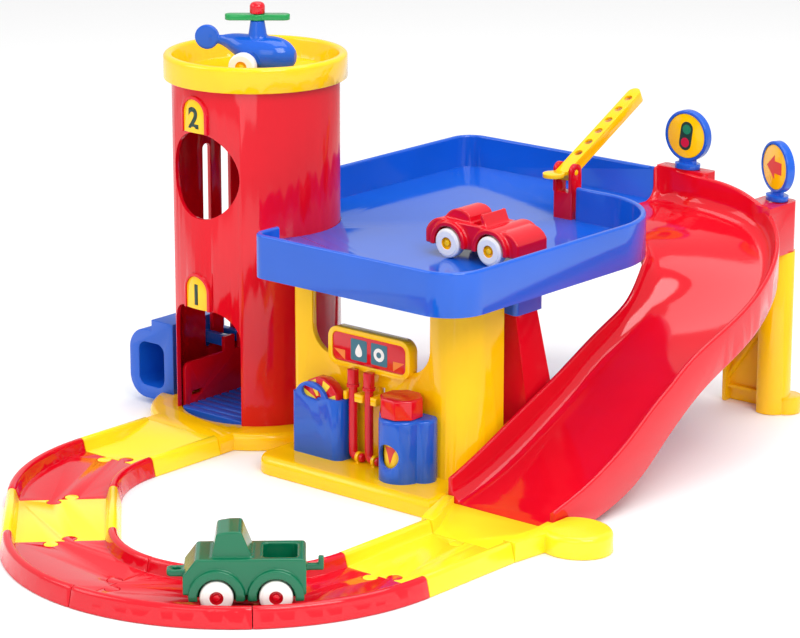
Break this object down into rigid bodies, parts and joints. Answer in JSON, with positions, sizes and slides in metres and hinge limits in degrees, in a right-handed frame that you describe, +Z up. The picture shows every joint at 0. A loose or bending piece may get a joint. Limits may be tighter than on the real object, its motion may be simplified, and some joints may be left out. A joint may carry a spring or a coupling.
{
  "type": "toy parking garage with lift",
  "caption": "Toy garage set: round lift tower, raised parking deck, filling station wall, curved slide, snap-together road, barrier, swivel signs and small toy vehicles.",
  "frame": {"origin": "axis of the lift tower on the floor, at the underside of its base", "axes": "+Z up, -Y towards the doorway and filling station front, +X towards the slide"},
  "size_m": [0.347, 0.4631, 0.2246],
  "materials": {
    "red_plastic": "glossy moulded",
    "blue_plastic": "glossy moulded",
    "yellow_plastic": "glossy moulded",
    "green_plastic": "glossy moulded",
    "white_tyre": "smooth soft moulded"
  },
  "bodies": {
    "garage": {"tower_base": "yellow_plastic", "tower_shell": "red_plastic", "floor_label_1": "yellow_plastic", "floor_label_2": "yellow_plastic", "roof_dish": "yellow_plastic", "facade": "yellow_plastic", "pump_sign": "red_plastic", "jerry_can": "blue_plastic", "oil_can": "blue_plastic", "deck_tray": "blue_plastic", "side_leg": "red_plastic", "rear_leg": "red_plastic", "slide_chute": "red_plastic", "slide_leg": "yellow_plastic", "slide_apron": "yellow_plastic", "barrier_post": "red_plastic", "barrier_pin": "yellow_plastic", "road_tower": "yellow_plastic", "road_curve_1": "red_plastic", "road_curve_2": "red_plastic", "road_curve_3": "red_plastic", "road_curve_4": "red_plastic", "road_straight": "yellow_plastic", "road_slide": "yellow_plastic"},
    "lift": {"lift_platform": "blue_plastic", "lift_guard": "red_plastic", "lift_grip": "blue_plastic"},
    "barrier": {"barrier_arm": "yellow_plastic"},
    "sign_1": {"sign_1_frame": "blue_plastic", "sign_1_face": "yellow_plastic"},
    "sign_2": {"sign_2_frame": "blue_plastic", "sign_2_face": "yellow_plastic"},
    "hose_left": {"pump_hose_left": "red_plastic"},
    "hose_right": {"pump_hose_right": "red_plastic"},
    "can_wheel": {"can_wheel": "red_plastic"},
    "oil_knob": {"oil_cap": "red_plastic", "gauge_drum": "yellow_plastic"},
    "helicopter": {"helicopter_body": "blue_plastic", "helicopter_cap": "red_plastic"},
    "rotor": {"helicopter_rotor": "green_plastic"},
    "helicopter_wheels": {"helicopter_axle": "yellow_plastic", "helicopter_tyre_left": "white_tyre", "helicopter_tyre_right": "white_tyre"},
    "car": {"car_body": "red_plastic"},
    "car_front": {"car_front_axle": "yellow_plastic", "car_front_tyre_left": "white_tyre", "car_front_tyre_right": "white_tyre"},
    "car_rear": {"car_rear_axle": "yellow_plastic", "car_rear_tyre_left": "white_tyre", "car_rear_tyre_right": "white_tyre"},
    "pickup": {"pickup_body": "green_plastic"},
    "pickup_front": {"pickup_front_axle": "red_plastic", "pickup_front_tyre_left": "white_tyre", "pickup_front_tyre_right": "white_tyre"},
    "pickup_rear": {"pickup_rear_axle": "red_plastic", "pickup_rear_tyre_left": "white_tyre", "pickup_rear_tyre_right": "white_tyre"}
  },
  "joints": [
    {"name": "lift_slide", "type": "slide", "parent": "garage", "child": "lift", "axis": [0, 0, 1], "range_m": [0, 0.0992]},
    {"name": "barrier_pivot", "type": "hinge", "parent": "garage", "child": "barrier", "pos_m": [0.1197, 0.1075, 0.1325], "axis": [1, 0, 0], "range_deg": [-27.6, 45]},
    {"name": "sign_1_swivel", "type": "hinge", "parent": "garage", "child": "sign_1", "pos_m": [0.148, 0.1748, 0.1264], "axis": [0, 0, 1], "continuous": true},
    {"name": "sign_2_swivel", "type": "hinge", "parent": "garage", "child": "sign_2", "pos_m": [0.198, 0.1855, 0.115], "axis": [0, 0, 1], "continuous": true},
    {"name": "hose_left_pivot", "type": "hinge", "parent": "garage", "child": "hose_left", "pos_m": [0.1043, -0.0438, 0.0116], "axis": [1, 0, 0], "range_deg": [0, 75]},
    {"name": "hose_right_pivot", "type": "hinge", "parent": "garage", "child": "hose_right", "pos_m": [0.1147, -0.0438, 0.0116], "axis": [1, 0, 0], "range_deg": [0, 75]},
    {"name": "can_wheel_turn", "type": "hinge", "parent": "garage", "child": "can_wheel", "pos_m": [0.0865, -0.0454, 0.0375], "axis": [0, 1, 0], "continuous": true},
    {"name": "oil_cap_turn", "type": "hinge", "parent": "garage", "child": "oil_knob", "pos_m": [0.1405, -0.0494, 0.041], "axis": [0, 0, 1], "continuous": true},
    {"name": "helicopter_lift_off", "type": "slide", "parent": "garage", "child": "helicopter", "axis": [0, 0, 1], "range_m": [0, 0.1]},
    {"name": "helicopter_wheels_roll", "type": "hinge", "parent": "helicopter", "child": "helicopter_wheels", "pos_m": [0.00719, -0.01178, 0.1933], "axis": [0.4226, -0.9063, 0], "continuous": true},
    {"name": "rotor_spin", "type": "hinge", "parent": "helicopter", "child": "rotor", "pos_m": [0.011, -0.01, 0.217], "axis": [0, 0, 1], "continuous": true},
    {"name": "car_lift_off", "type": "slide", "parent": "garage", "child": "car", "axis": [0, 0, 1], "range_m": [0, 0.1]},
    {"name": "car_front_roll", "type": "hinge", "parent": "car", "child": "car_front", "pos_m": [0.1534, 0.01573, 0.1158], "axis": [0.0175, -0.9998, 0], "continuous": true},
    {"name": "car_rear_roll", "type": "hinge", "parent": "car", "child": "car_rear", "pos_m": [0.1272, 0.01527, 0.1158], "axis": [0.0175, -0.9998, 0], "continuous": true},
    {"name": "pickup_lift_off", "type": "slide", "parent": "garage", "child": "pickup", "axis": [0, 0, 1], "range_m": [0, 0.1]},
    {"name": "pickup_front_roll", "type": "hinge", "parent": "pickup", "child": "pickup_front", "pos_m": [0.18157, -0.22327, 0.0108], "axis": [-0.6691, 0.7431, 0], "continuous": true},
    {"name": "pickup_rear_roll", "type": "hinge", "parent": "pickup", "child": "pickup_rear", "pos_m": [0.20103, -0.20573, 0.0108], "axis": [-0.6691, 0.7431, 0], "continuous": true}
  ]
}
